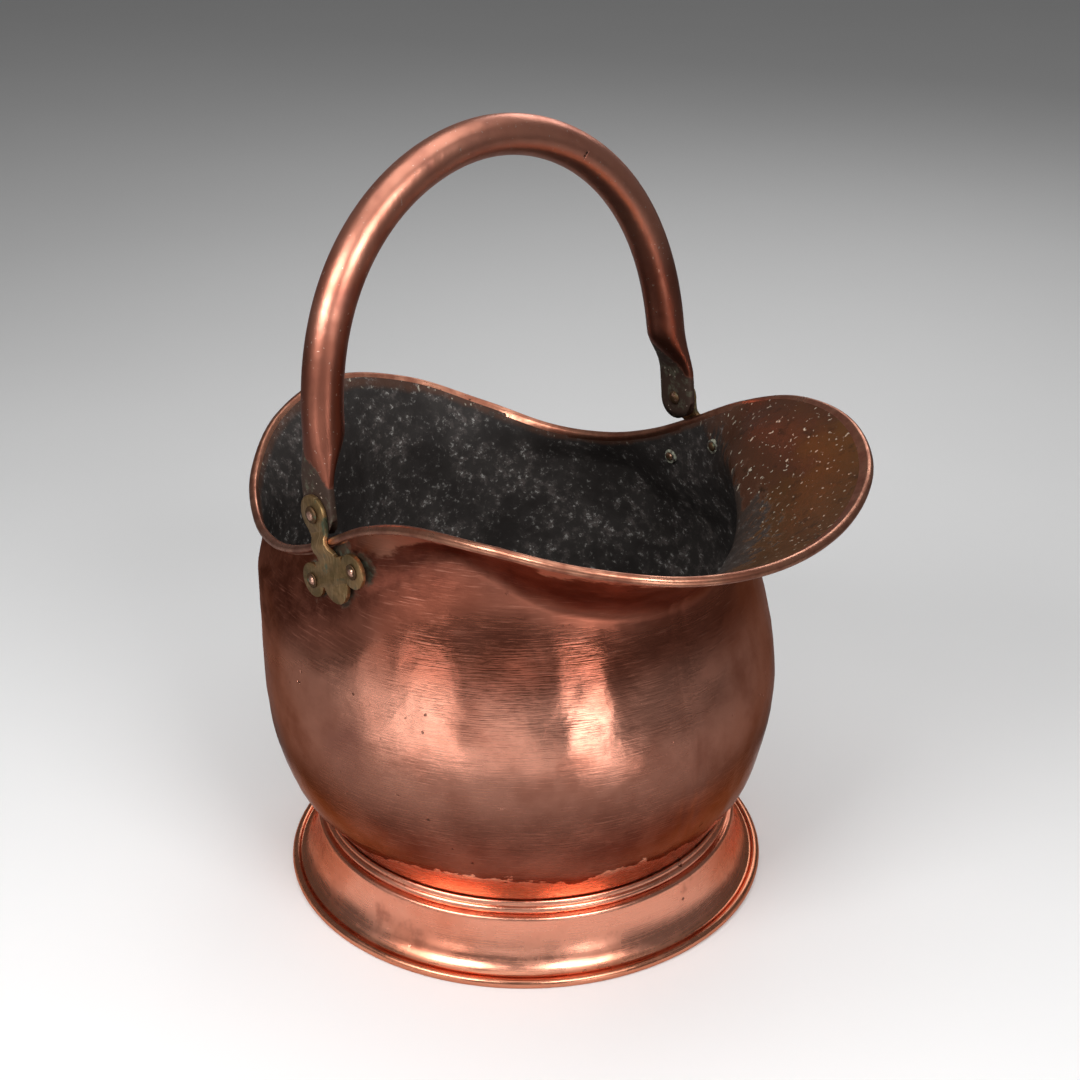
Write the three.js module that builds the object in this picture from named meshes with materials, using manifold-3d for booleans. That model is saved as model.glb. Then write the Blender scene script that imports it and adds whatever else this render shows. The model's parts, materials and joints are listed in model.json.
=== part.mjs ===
// Copper helmet coal scuttle: a raised bowl with a pouring lip and a wired rim, a spun foot ring,
// and a tubular bail that swings between two riveted brass lugs.
// Millimetres, +Z up, +X towards the pouring lip. Azimuths are taken about the foot's axis:
// 0 at the tip of the lip, 90 at the lugs, 180 at the back. The right-hand side is -Y.

import * as THREE from 'three';
import { mergeVertices } from 'three/addons/utils/BufferGeometryUtils.js';
import Module from 'manifold-3d';

const wasm = await Module();
wasm.setup();

// ---------------------------------------------------------------- driving dimensions

const CLEARANCE = 0.3; // between pieces that touch
const AROUND = 48; // facets round the bowl and the foot
const PIN_SIDES = 12; // facets round rivets, roves and their holes
const LOBE_SIDES = 20; // facets round the wider discs of the lugs
const DEGREE = Math.PI / 180;

// The bowl leans back a little, so the foot's axis stands behind the middle of the whole length.
const FOOT_AXIS_X = -5;

// Bowl wall: copper sheet, its middle surface given level by level.
const BOWL_SHEET = 1.0;
const BOWL_LEVELS = [
  // height, mean radius, shift of the section towards the lip, ovalness along X
  { z: 44, mean: 117.6, shift: 0, oval: 0 },
  { z: 50, mean: 121.5, shift: -0.2, oval: 0 },
  { z: 58, mean: 128.0, shift: -1, oval: 0 },
  { z: 68, mean: 134.8, shift: -2.4, oval: 0 },
  { z: 85, mean: 141.3, shift: -3.8, oval: 0 },
  { z: 110, mean: 145.7, shift: -4.3, oval: 0 },
  { z: 140, mean: 146.8, shift: -5.5, oval: 0.3 },
  { z: 170, mean: 144.4, shift: -10.8, oval: 1 },
  { z: 200, mean: 140.8, shift: -17.2, oval: 3 },
  { z: 225, mean: 136.0, shift: -22.2, oval: 5.5 },
  { z: 250, mean: 132.0, shift: -26, oval: 9 },
];
// Under the rim both sides are dressed flat where the lugs sit, and fade into the belly below.
const SIDE_FLAT = { reach: 127, below: 222, rise: 0.008, softness: 4 };
const BOWL_BOTTOM_Z = 35.5;
const BOWL_BOTTOM_CORNER = [
  // radius, height: the turn from the flat bottom into the wall
  [108, BOWL_BOTTOM_Z],
  [113.5, 36.8],
  [116.6, 39.8],
];

// Rim: centre of the rolled bead, every 15 degrees from the tip of the lip to the back.
const RIM_RADIUS = [198.5, 197, 190.5, 175, 154.5, 137.5, 129.7, 131, 139, 152.5, 169.5, 183, 188.5];
const RIM_HEIGHT = [265.5, 269, 277.5, 283, 278.5, 263, 243, 225, 213, 210, 220, 236, 244.5];
// The wall leaves its levels here and sweeps out to the rim, every 30 degrees.
const NECK_HEIGHT = [207, 218, 240, 204, 190, 190, 203];
const NECK_REACH = [16, 14, 7, 6, 6, 8, 14]; // how far the neck's own direction carries on
const LIP_LEAN = [55, 58, 55, 8, 10, 35, 52]; // of the sheet at the rim, from upright
const LIP_REACH = [32, 30, 16, 6, 6, 14, 18];

// Both rims are rolled round an iron wire.
const WIRE_RADIUS = 1.1;
const ROLL_BORE = 1.6;
const RIM_ROLL_END = 285; // degrees that the sheet turns round the wire

// Foot ring: heavier copper sheet, spun.
const FOOT_SHEET = 1.2;
const FOOT_ROLL = { radius: 138, z: 2.3, from: 150, to: -160 };

// Bail: copper tube with its ends squashed to tongues. Its own frame has the pivot line at the origin.
const TUBE_RADIUS = 11;
const TUBE_WALL = 1.6;
const TUBE_SIDES = 16;
const TONGUE_HALF_WIDTH = 13;
const TONGUE_HALF_THICKNESS = 2.7;
const TONGUE_SLOT = 0.6; // half of the gap that is left between the pressed walls
const TONGUE_END_RADIUS = 12.6;
const TONGUE_TRIM = 0.4; // what is cut off below the round end
const TONGUE_TOP = 13;
const TUBE_ROUND_FROM = 44; // height over the pivot where the tube is round again
const TONGUE_REACH = 127.2; // from the middle plane to the middle of the tongue
const PRESS_SHIFT = TUBE_RADIUS - TONGUE_HALF_THICKNESS; // the tube is pressed against its outer side
const CROWN_HEIGHT = 174.3;
const LEG_HANDLE = [130, 128]; // reach and height that the legs aim for
const CROWN_HANDLE = 56; // reach of the crown's flat
const BAIL_LEAN = -6; // degrees, towards the back, as it stands at rest

// Pivot line, and the lugs that carry it. A lug leans so that it crosses the rim squarely.
const PIVOT_X = -12;
const PIVOT_Z = 255;
const LUG_LEAN = 27;
const LUG_SEAT = 130; // from the middle plane to the face between tongue and lug
const LUG_SHEET = 2.3;
const EYE_RADIUS = 10.5;
const LUG_STRAP = [
  // place along the lug, outward offset of the strap's middle, half width
  { v: -2, out: 1.35, half: 9.9 },
  { v: -9.5, out: 1.35, half: 7.6 },
  { v: -12, out: 2.0, half: 6.8 },
  { v: -14.2, out: 3.4, half: 6.4 },
  { v: -16.4, out: 3.95, half: 6.7 },
  { v: -18.8, out: 3.4, half: 7.1 },
  { v: -21.6, out: 1.8, half: 7.8 },
  { v: -24.5, out: 1.0, half: 8.8 },
  { v: -30, out: 1.0, half: 9.5 },
];
const PLATE_TOP = { v: -24.5, out: 1.0 };
const LOBE_RADIUS = 9.5;
const LOBE_CENTRE = [20.5, -9]; // across and down from the top of the plate
const MIDDLE_LOBE_RADIUS = 11.5;
const MIDDLE_LOBE_DROP = -13;
const WEB_HALF_WIDTH = 13;
const WEB_DROP = -14;
const LUG_RIVET_ACROSS = 21;

const PIVOT_RIVET = { shank: 3, head: 4.8, headHeight: 2.2, innerHead: 4.2, innerHeight: 1.9 };
const LUG_RIVET = { shank: 1.9, head: 4.3, headHeight: 1.5, burr: 2.9, burrHeight: 1.1 };
const ROVE_RADIUS = 4.3;
const ROVE_DEPTH = 1.9;

// ---------------------------------------------------------------- materials

const copper = new THREE.MeshStandardMaterial({ color: 0x9a5140, roughness: 0.38, metalness: 1 });
const sootedCopper = new THREE.MeshStandardMaterial({ color: 0x8f4a38, roughness: 0.42, metalness: 1 });
const brass = new THREE.MeshStandardMaterial({ color: 0x7d6a45, roughness: 0.45, metalness: 1 });
const iron = new THREE.MeshStandardMaterial({ color: 0x3f3b38, roughness: 0.7, metalness: 1 });

// ---------------------------------------------------------------- solids and meshes

function indexed(positions, triangles) {
  const geometry = new THREE.BufferGeometry();
  geometry.setAttribute('position', new THREE.Float32BufferAttribute(positions, 3));
  geometry.setIndex(triangles);
  return geometry;
}

// Volume inside the faces: negative where they look inwards.
function signedVolume(positions, triangles) {
  const [a, b, c] = [new THREE.Vector3(), new THREE.Vector3(), new THREE.Vector3()];
  let volume = 0;
  for (let i = 0; i < triangles.length; i += 3) {
    a.fromArray(positions, 3 * triangles[i]);
    b.fromArray(positions, 3 * triangles[i + 1]);
    c.fromArray(positions, 3 * triangles[i + 2]);
    volume += a.dot(b.cross(c)) / 6;
  }
  return volume;
}

function toSolid(geometry) {
  const bare = geometry.clone();
  bare.deleteAttribute('normal');
  bare.deleteAttribute('uv');
  const welded = mergeVertices(bare, 1e-4);
  const index = welded.index.array;
  const triangles = [];
  for (let i = 0; i < index.length; i += 3) {
    const [a, b, c] = index.slice(i, i + 3);
    if (a !== b && b !== c && c !== a) triangles.push(a, b, c);
  }
  const vertProperties = Float32Array.from(welded.attributes.position.array);
  if (signedVolume(vertProperties, triangles) < 0) triangles.reverse();
  const triVerts = Uint32Array.from(triangles);
  return new wasm.Manifold(new wasm.Mesh({ numProp: 3, vertProperties, triVerts }));
}

function toGeometry(solid) {
  const mesh = solid.getMesh();
  return indexed(Array.from(mesh.vertProperties), Array.from(mesh.triVerts));
}

// The same piece on the other side of the middle plane.
function mirrored(geometry) {
  const other = geometry.clone();
  other.scale(1, -1, 1);
  const index = other.index.array;
  for (let i = 0; i < index.length; i += 3) [index[i], index[i + 1]] = [index[i + 1], index[i]];
  return other;
}

// Joins rings of equal length, one to the next. A loop returns to its first ring, and its two halves
// are facetted as mirror images. Any other loft gets flat end faces.
function loft(rings, { loop = false } = {}) {
  const size = rings[0].length;
  const positions = rings.flat(2);
  const triangles = [];
  const steps = loop ? rings.length : rings.length - 1;
  for (let k = 0; k < steps; k += 1) {
    const here = k * size;
    const next = ((k + 1) % rings.length) * size;
    const secondHalf = loop && 2 * k >= steps;
    for (let i = 0; i < size; i += 1) {
      const j = (i + 1) % size;
      if (secondHalf) triangles.push(here + i, here + j, next + i, here + j, next + j, next + i);
      else triangles.push(here + i, here + j, next + j, here + i, next + j, next + i);
    }
  }
  if (!loop) {
    const last = (rings.length - 1) * size;
    for (let i = 1; i < size - 1; i += 1) {
      triangles.push(0, i + 1, i);
      triangles.push(last, last + i, last + i + 1);
    }
  }
  return indexed(positions, triangles);
}

// A solid swept round the foot's axis. The outline is a list of [radius, height] that may change
// with the azimuth; it closes on itself, or starts and ends on the axis.
function sweepRound(outlineAt) {
  const rings = [];
  for (let k = 0; k < AROUND; k += 1) {
    const azimuth = (2 * Math.PI * k) / AROUND;
    rings.push(
      outlineAt(azimuth).map(([r, z]) => [r * Math.cos(azimuth), r * Math.sin(azimuth), z])
    );
  }
  return loft(rings, { loop: true });
}

// ---------------------------------------------------------------- curves

// Value at an azimuth, on a smooth curve through values listed at even steps from the tip of the
// lip to the back. The other side of the vessel mirrors them.
function around(values, azimuth) {
  const last = values.length - 1;
  const valueAt = (step) => {
    const k = THREE.MathUtils.euclideanModulo(step, 2 * last);
    return values[k > last ? 2 * last - k : k];
  };
  const place = (azimuth / Math.PI) * last;
  const i = Math.floor(place);
  const t = place - i;
  const [a, b, c, d] = [valueAt(i - 1), valueAt(i), valueAt(i + 1), valueAt(i + 2)];
  const cubic = 3 * b - a - 3 * c + d;
  const square = 2 * a - 5 * b + 4 * c - d;
  return b + 0.5 * t * (c - a + t * (square + t * cubic));
}

// Smooth curve over unevenly spaced heights, with one slope per station.
function overHeights(stations, key, z) {
  const last = stations.length - 1;
  const slope = (i) => {
    const low = stations[Math.max(i - 1, 0)];
    const high = stations[Math.min(i + 1, last)];
    return (high[key] - low[key]) / (high.z - low.z);
  };
  let i = 0;
  while (i < last - 1 && z > stations[i + 1].z) i += 1;
  const from = stations[i];
  const to = stations[i + 1];
  const span = to.z - from.z;
  const t = (z - from.z) / span;
  const ease = t * t * (3 - 2 * t);
  return (
    from[key] * (1 - ease) + to[key] * ease +
    slope(i) * span * t * (1 - t) ** 2 - slope(i + 1) * span * t * t * (1 - t)
  );
}

// Moves every point of an open line sideways, to the left of its direction.
function offsetLine(points, distance) {
  return points.map(([x, y], i) => {
    const [ax, ay] = points[Math.max(i - 1, 0)];
    const [bx, by] = points[Math.min(i + 1, points.length - 1)];
    const length = Math.hypot(bx - ax, by - ay);
    return [x - ((by - ay) / length) * distance, y + ((bx - ax) / length) * distance];
  });
}

// Sheet metal seen on edge: a middle line with the sheet's thickness laid on either side.
function sheetOutline(middle, thickness) {
  return [...offsetLine(middle, -thickness / 2), ...offsetLine(middle, thickness / 2).reverse()];
}

const arc = (centre, radius, from, to, steps) =>
  Array.from({ length: steps + 1 }, (_, i) => {
    const angle = (from + ((to - from) * i) / steps) * DEGREE;
    return [centre[0] + radius * Math.cos(angle), centre[1] + radius * Math.sin(angle)];
  });

const bezier = (points, steps) => {
  const [a, b, c, d] = points.map(([x, y]) => new THREE.Vector2(x, y));
  return new THREE.CubicBezierCurve(a, b, c, d).getPoints(steps).map((p) => [p.x, p.y]);
};

// ---------------------------------------------------------------- bowl

function wallRadius(azimuth, z) {
  const radius =
    overHeights(BOWL_LEVELS, 'mean', z) +
    overHeights(BOWL_LEVELS, 'shift', z) * Math.cos(azimuth) +
    overHeights(BOWL_LEVELS, 'oval', z) * Math.cos(2 * azimuth);
  const { reach, below, rise, softness } = SIDE_FLAT;
  const side = radius * Math.abs(Math.sin(azimuth));
  const limit = reach + rise * Math.max(below - z, 0) ** 2;
  const dressed = (side + limit - Math.hypot(side - limit, softness)) / 2;
  return side < 1 ? radius : (radius * dressed) / side;
}

// Middle line of the wall at one azimuth, from the bottom's corner to the start of the rolled rim.
function wallLine(azimuth) {
  const base = BOWL_LEVELS[0].z;
  const neckZ = around(NECK_HEIGHT, azimuth);
  const lean = around(LIP_LEAN, azimuth) * DEGREE;
  const rollRadius = ROLL_BORE + BOWL_SHEET / 2;
  const rim = [
    around(RIM_RADIUS, azimuth) - rollRadius * Math.cos(lean),
    around(RIM_HEIGHT, azimuth) + rollRadius * Math.sin(lean),
  ];
  const levels = [0, 0.05, 0.11, 0.19, 0.32, 0.48, 0.65, 0.83];
  const lower = levels.map((part) => {
    const z = base + (neckZ - base) * part;
    return [wallRadius(azimuth, z), z];
  });
  const neck = [wallRadius(azimuth, neckZ), neckZ];
  const slope = wallRadius(azimuth, neckZ) - wallRadius(azimuth, neckZ - 1);
  const neckReach = around(NECK_REACH, azimuth);
  const lipReach = around(LIP_REACH, azimuth);
  const upper = bezier(
    [
      neck,
      [neck[0] + slope * neckReach, neck[1] + neckReach],
      [rim[0] - lipReach * Math.sin(lean), rim[1] - lipReach * Math.cos(lean)],
      rim,
    ],
    6
  );
  return { line: [...lower, ...upper], lean };
}

// Outline of the sheet, from the axis under the bottom, up the outside, round the roll, and back
// down the inside to the axis.
function bowlOutline(azimuth) {
  const { line, lean } = wallLine(azimuth);
  const middle = [[0, BOWL_BOTTOM_Z], ...BOWL_BOTTOM_CORNER, ...line];
  const half = BOWL_SHEET / 2;
  const outside = offsetLine(middle, -half);
  const inside = offsetLine(middle, half);
  outside[0] = [0, BOWL_BOTTOM_Z - half];
  inside[0] = [0, BOWL_BOTTOM_Z + half];
  const centre = [around(RIM_RADIUS, azimuth), around(RIM_HEIGHT, azimuth)];
  const start = 180 - lean / DEGREE;
  const curlOf = (radius) => arc(centre, radius, start, start - RIM_ROLL_END, 7);
  outside.splice(-1, 1, ...curlOf(ROLL_BORE));
  inside.splice(-1, 1, ...curlOf(ROLL_BORE + BOWL_SHEET));
  return [...outside, ...inside.reverse()];
}

// The room inside the bowl, a hair smaller, that what stands on the inner wall is fitted to.
function bowlCavity() {
  return toSolid(
    sweepRound((azimuth) => {
      const { line } = wallLine(azimuth);
      const inner = offsetLine([...BOWL_BOTTOM_CORNER, ...line], BOWL_SHEET / 2 + CLEARANCE);
      const top = inner.at(-1)[1];
      return [[0, top], ...inner.reverse(), [0, BOWL_BOTTOM_Z + 1]];
    })
  );
}

function rimWire() {
  return sweepRound((azimuth) =>
    arc([around(RIM_RADIUS, azimuth), around(RIM_HEIGHT, azimuth)], WIRE_RADIUS, 0, -288, 4)
  );
}

// ---------------------------------------------------------------- foot ring

function footOutline() {
  const { radius, z, from, to } = FOOT_ROLL;
  const collar = [[118.6, 42.6], [118.6, 39.6]];
  const bead = [[120.0, 38.6], [120.5, 37.2], [119.9, 35.8]];
  const ridge = [[119.6, 34.8], [122.6, 34.1], [123.6, 33.2], [123.5, 31.8]];
  const flare = bezier([[123.5, 31.8], [123.7, 20], [126.5, 8.5], [134.2, 4.2]], 4).slice(1);
  const middleRoll = ROLL_BORE + FOOT_SHEET / 2;
  const roll = arc([radius, z], middleRoll, from, to, 7);
  const middle = [...collar, ...bead, ...ridge, ...flare, ...roll];
  const outline = sheetOutline(middle, FOOT_SHEET);
  // the roll is worn flat where it stands
  return outline.map(([r, height]) => [r, Math.max(height, 0)]);
}

function footWire() {
  return sweepRound(() => arc([FOOT_ROLL.radius, FOOT_ROLL.z], WIRE_RADIUS, 0, -288, 4));
}

// ---------------------------------------------------------------- bail

// Middle line of the bail as [reach, height], from one tongue's end over the crown to the other's.
function bailLine() {
  const reach = TONGUE_REACH - PRESS_SHIFT;
  const leg = bezier(
    [[reach, TONGUE_TOP], LEG_HANDLE, [CROWN_HANDLE, CROWN_HEIGHT], [0, CROWN_HEIGHT]],
    12
  );
  const tongue = [[reach, -TONGUE_END_RADIUS - TONGUE_TRIM], [reach, 0]];
  const half = [...tongue, ...leg];
  const other = half.slice(0, -1).reverse().map(([reach, height]) => [-reach, height]);
  return [...half, ...other];
}

// Section of the tube: a circle, pressed to a flat tongue with round edges as `press` goes to 1.
function bailSection(press, wall) {
  const bore = wall ? TUBE_WALL : 0;
  const halfWidth = TONGUE_HALF_WIDTH - bore;
  const halfThickness = wall ? TONGUE_SLOT : TONGUE_HALF_THICKNESS;
  return Array.from({ length: TUBE_SIDES }, (_, i) => {
    const angle = ((i + 0.5) / TUBE_SIDES) * 2 * Math.PI;
    const [c, s] = [Math.cos(angle), Math.sin(angle)];
    const round = new THREE.Vector2(c, s).multiplyScalar(TUBE_RADIUS - bore);
    const flat = new THREE.Vector2(
      halfWidth * Math.sign(c) * Math.abs(c) ** 0.75,
      halfThickness * Math.sign(s) * Math.abs(s) ** 0.35 + PRESS_SHIFT
    );
    return round.lerp(flat, press).toArray();
  });
}

function bailRings(wall) {
  const line = bailLine();
  return line.map(([reach, height], i) => {
    const [ax, ay] = line[Math.max(i - 1, 0)];
    const [bx, by] = line[Math.min(i + 1, line.length - 1)];
    const length = Math.hypot(bx - ax, by - ay);
    const outward = [(by - ay) / length, -(bx - ax) / length];
    const t = THREE.MathUtils.clamp((height - TONGUE_TOP) / (TUBE_ROUND_FROM - TONGUE_TOP), 0, 1);
    const press = 1 - t * t * (3 - 2 * t);
    return bailSection(press, wall).map(([across, out]) => [
      across,
      reach + outward[0] * out,
      height + outward[1] * out,
    ]);
  });
}

function bail() {
  const outer = toSolid(loft(bailRings(false)));
  const boreRings = bailRings(true);
  // the bore runs on through both ends, so that the slot between the pressed walls is open
  for (const end of [boreRings[0], boreRings.at(-1)]) {
    for (const point of end) point[2] -= 1;
  }
  let tube = outer.subtract(toSolid(loft(boreRings)));
  for (const side of [-1, 1]) {
    tube = tube.subtract(toSolid(tongueEndCutter(side)));
    tube = tube.subtract(toSolid(rodAlongY(PIVOT_RIVET.shank + CLEARANCE, side * TONGUE_REACH, 20)));
  }
  return toGeometry(tube);
}

// What is cut away below the pivot to leave the tongue with a round end.
function tongueEndCutter(side) {
  const outside = TONGUE_HALF_WIDTH + 4;
  const shape = new THREE.Shape();
  shape.moveTo(-outside, 0);
  shape.lineTo(-TONGUE_END_RADIUS, 0);
  shape.absarc(0, 0, TONGUE_END_RADIUS, Math.PI, 2 * Math.PI, false);
  shape.lineTo(outside, 0);
  shape.lineTo(outside, -outside);
  shape.lineTo(-outside, -outside);
  const depth = 16;
  const geometry = new THREE.ExtrudeGeometry(shape, { depth, bevelEnabled: false, curveSegments: 16 });
  geometry.rotateX(Math.PI / 2);
  geometry.translate(0, side * TONGUE_REACH + depth / 2, 0);
  return geometry;
}

function rodAlongY(radius, y, length) {
  const geometry = new THREE.CylinderGeometry(radius, radius, length, PIN_SIDES);
  geometry.translate(0, y, 0);
  return geometry;
}

// ---------------------------------------------------------------- lugs, rivets and roves

// A lug's frame: x across it, y along it away from the bowl, z outwards, with the pivot on z.
const lugFrame = new THREE.Matrix4()
  .makeBasis(
    new THREE.Vector3(Math.cos(LUG_LEAN * DEGREE), 0, Math.sin(LUG_LEAN * DEGREE)),
    new THREE.Vector3(-Math.sin(LUG_LEAN * DEGREE), 0, Math.cos(LUG_LEAN * DEGREE)),
    new THREE.Vector3(0, -1, 0)
  )
  .setPosition(PIVOT_X, -LUG_SEAT, PIVOT_Z);

// The plate's frame has its origin at the middle of the plate's top edge.
const plateInLug = new THREE.Matrix4().makeTranslation(0, PLATE_TOP.v, PLATE_TOP.out);
const plateFrame = lugFrame.clone().multiply(plateInLug);

function discAlongZ(radius, thickness, x = 0, y = 0, z = 0) {
  const sides = radius > ROVE_RADIUS ? LOBE_SIDES : PIN_SIDES;
  const geometry = new THREE.CylinderGeometry(radius, radius, thickness, sides);
  geometry.rotateX(Math.PI / 2);
  geometry.translate(x, y, z);
  return geometry;
}

function lugStrap() {
  const middle = LUG_STRAP.map(({ v, out }) => [v, out]);
  const faces = [offsetLine(middle, LUG_SHEET / 2), offsetLine(middle, -LUG_SHEET / 2)];
  const rings = LUG_STRAP.map(({ half }, i) => {
    const [[v0, out0], [v1, out1]] = [faces[0][i], faces[1][i]];
    return [[-half, v0, out0], [half, v0, out0], [half, v1, out1], [-half, v1, out1]];
  });
  return loft(rings);
}

function lug() {
  const eye = discAlongZ(EYE_RADIUS, LUG_SHEET, 0, 0, LUG_STRAP[0].out);
  let solid = toSolid(lugStrap()).add(toSolid(eye));
  const web = new THREE.BoxGeometry(2 * WEB_HALF_WIDTH, -WEB_DROP, LUG_SHEET);
  web.translate(0, WEB_DROP / 2, 0);
  const plate = [
    discAlongZ(LOBE_RADIUS, LUG_SHEET, -LOBE_CENTRE[0], LOBE_CENTRE[1]),
    discAlongZ(LOBE_RADIUS, LUG_SHEET, LOBE_CENTRE[0], LOBE_CENTRE[1]),
    discAlongZ(MIDDLE_LOBE_RADIUS, LUG_SHEET, 0, MIDDLE_LOBE_DROP),
    web,
  ];
  for (const lobe of plate) solid = solid.add(toSolid(lobe.applyMatrix4(plateInLug)));
  solid = solid.subtract(toSolid(discAlongZ(PIVOT_RIVET.shank + CLEARANCE, 20)));
  for (const side of [-1, 1]) {
    const hole = discAlongZ(LUG_RIVET.shank + CLEARANCE, 12, side * LUG_RIVET_ACROSS, LOBE_CENTRE[1]);
    solid = solid.subtract(toSolid(hole.applyMatrix4(plateInLug)));
  }
  return toGeometry(solid).applyMatrix4(lugFrame);
}

// Half a section of a domed head that rises (or, with a negative height, sinks) from z to its crown.
const dome = (radius, z, height) => {
  const edge = arc([0, 0], 1, 0, 45, 1).map(([c, s]) => [radius * c, z + height * s]);
  return [...edge, [0, z + height]];
};

function turned(profile) {
  const points = profile.map(([r, z]) => new THREE.Vector2(r, z));
  const geometry = new THREE.LatheGeometry(points, PIN_SIDES);
  geometry.rotateX(Math.PI / 2);
  return toGeometry(toSolid(geometry));
}

// A rivet along z: outer head on top, inner end below, both domed.
function rivet({ shank, head, headHeight, inner, innerHeight, top, bottom }) {
  return turned([
    ...dome(inner, bottom, -innerHeight).reverse(),
    [shank, bottom],
    [shank, top],
    ...dome(head, top, headHeight),
  ]);
}

function pivotRivet() {
  const { shank, head, headHeight, innerHead, innerHeight } = PIVOT_RIVET;
  const eyeFace = LUG_STRAP[0].out + LUG_SHEET / 2;
  const tongueFace = TONGUE_REACH - TONGUE_HALF_THICKNESS - LUG_SEAT;
  return rivet({
    shank,
    head,
    headHeight,
    inner: innerHead,
    innerHeight,
    top: eyeFace + CLEARANCE,
    bottom: tongueFace - CLEARANCE,
  }).applyMatrix4(lugFrame);
}

// Radius of the wall's middle surface at an azimuth and height, lip included.
function wallReach(azimuth, z) {
  const { line } = wallLine(azimuth);
  const above = line.findIndex((point) => point[1] > z);
  const [[r0, z0], [r1, z1]] = [line[above - 1], line[above]];
  return r0 + ((r1 - r0) * (z - z0)) / (z1 - z0);
}

// Depth below the plate's middle at which a rivet's axis meets the inner face of the wall.
function wallDepth(across) {
  const point = new THREE.Vector3();
  let depth = 0;
  let radius = 0;
  do {
    depth += 0.05;
    point.set(across, LOBE_CENTRE[1], -depth).applyMatrix4(plateFrame);
    radius = wallReach(Math.atan2(point.y, point.x), point.z) - BOWL_SHEET / 2;
  } while (Math.hypot(point.x, point.y) > radius);
  return depth;
}

function lugRivet(side) {
  const across = side * LUG_RIVET_ACROSS;
  const { shank, head, headHeight, burr, burrHeight } = LUG_RIVET;
  const geometry = rivet({
    shank,
    head,
    headHeight,
    inner: burr,
    innerHeight: burrHeight,
    top: LUG_SHEET / 2 + CLEARANCE,
    bottom: -wallDepth(across) - ROVE_DEPTH - CLEARANCE,
  });
  geometry.translate(across, LOBE_CENTRE[1], 0);
  return geometry.applyMatrix4(plateFrame);
}

// A rove is dressed down against the wall, so its outer face takes the wall's shape.
function rove(side, cavity) {
  const across = side * LUG_RIVET_ACROSS;
  const depth = wallDepth(across);
  const length = ROVE_DEPTH + BOWL_SHEET;
  const middle = -depth - ROVE_DEPTH + length / 2;
  const ring = toSolid(discAlongZ(ROVE_RADIUS, length)).subtract(
    toSolid(discAlongZ(LUG_RIVET.shank + CLEARANCE, length + 2))
  );
  const placed = toGeometry(ring);
  placed.translate(across, LOBE_CENTRE[1], middle);
  return toGeometry(toSolid(placed.applyMatrix4(plateFrame)).intersect(cavity));
}

// ---------------------------------------------------------------- assembly

const scuttle = new THREE.Group();

function addPiece(parent, name, geometry, material) {
  const mesh = new THREE.Mesh(geometry, material);
  mesh.name = name;
  parent.add(mesh);
}

const vessel = new THREE.Group();
vessel.position.x = FOOT_AXIS_X;
scuttle.add(vessel);

let bowl = toSolid(sweepRound(bowlOutline));
for (const side of [-1, 1]) {
  const hole = discAlongZ(LUG_RIVET.shank + CLEARANCE, 24, side * LUG_RIVET_ACROSS, LOBE_CENTRE[1]);
  const placed = hole.applyMatrix4(plateFrame);
  bowl = bowl.subtract(toSolid(placed)).subtract(toSolid(mirrored(placed)));
}
addPiece(vessel, 'bowl', toGeometry(bowl), copper);
addPiece(vessel, 'rim_wire', toGeometry(toSolid(rimWire())), iron);
addPiece(vessel, 'foot', toGeometry(toSolid(sweepRound(footOutline))), copper);
addPiece(vessel, 'foot_wire', toGeometry(toSolid(footWire())), iron);

const cavity = bowlCavity();
const rightSide = {
  lug: [lug(), brass],
  pivot_rivet: [pivotRivet(), copper],
  rivet_back: [lugRivet(-1), copper],
  rivet_front: [lugRivet(1), copper],
  rove_back: [rove(-1, cavity), sootedCopper],
  rove_front: [rove(1, cavity), sootedCopper],
};
for (const [name, [geometry, material]] of Object.entries(rightSide)) {
  addPiece(vessel, `${name}_right`, geometry, material);
  addPiece(vessel, `${name}_left`, mirrored(geometry), material);
}

const swing = new THREE.Group();
swing.position.set(PIVOT_X, 0, PIVOT_Z);
swing.rotation.y = BAIL_LEAN * DEGREE;
vessel.add(swing);
addPiece(swing, 'bail', bail(), copper);

export default scuttle;
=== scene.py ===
"""Copper helmet coal scuttle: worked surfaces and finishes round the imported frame.

Metres, +Z up, +X towards the pouring lip. Azimuths are taken about the foot's axis: 0 at the tip
of the lip, 90 degrees at the lugs. The right-hand side, nearest the camera, is -Y.
"""
import json
import math

import bmesh
import bpy
from mathutils import Matrix, Vector, noise


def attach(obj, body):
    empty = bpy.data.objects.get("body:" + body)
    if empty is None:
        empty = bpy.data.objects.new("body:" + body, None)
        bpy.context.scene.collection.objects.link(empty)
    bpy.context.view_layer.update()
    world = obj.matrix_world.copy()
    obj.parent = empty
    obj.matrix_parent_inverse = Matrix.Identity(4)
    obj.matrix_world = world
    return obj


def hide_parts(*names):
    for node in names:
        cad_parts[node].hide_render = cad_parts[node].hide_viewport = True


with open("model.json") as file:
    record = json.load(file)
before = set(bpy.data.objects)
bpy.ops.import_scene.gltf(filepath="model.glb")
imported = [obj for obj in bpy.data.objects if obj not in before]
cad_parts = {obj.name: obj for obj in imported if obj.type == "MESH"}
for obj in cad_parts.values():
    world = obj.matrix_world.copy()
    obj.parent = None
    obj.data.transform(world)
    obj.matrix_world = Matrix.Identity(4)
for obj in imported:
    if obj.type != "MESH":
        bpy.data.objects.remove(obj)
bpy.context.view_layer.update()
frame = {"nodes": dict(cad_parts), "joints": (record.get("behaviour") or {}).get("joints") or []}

MM = 0.001

# ---------------------------------------------------------------- sizes, in millimetres

FOOT_AXIS_X = -5.0
COLUMNS = 288  # faces round the bowl and the foot

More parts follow.
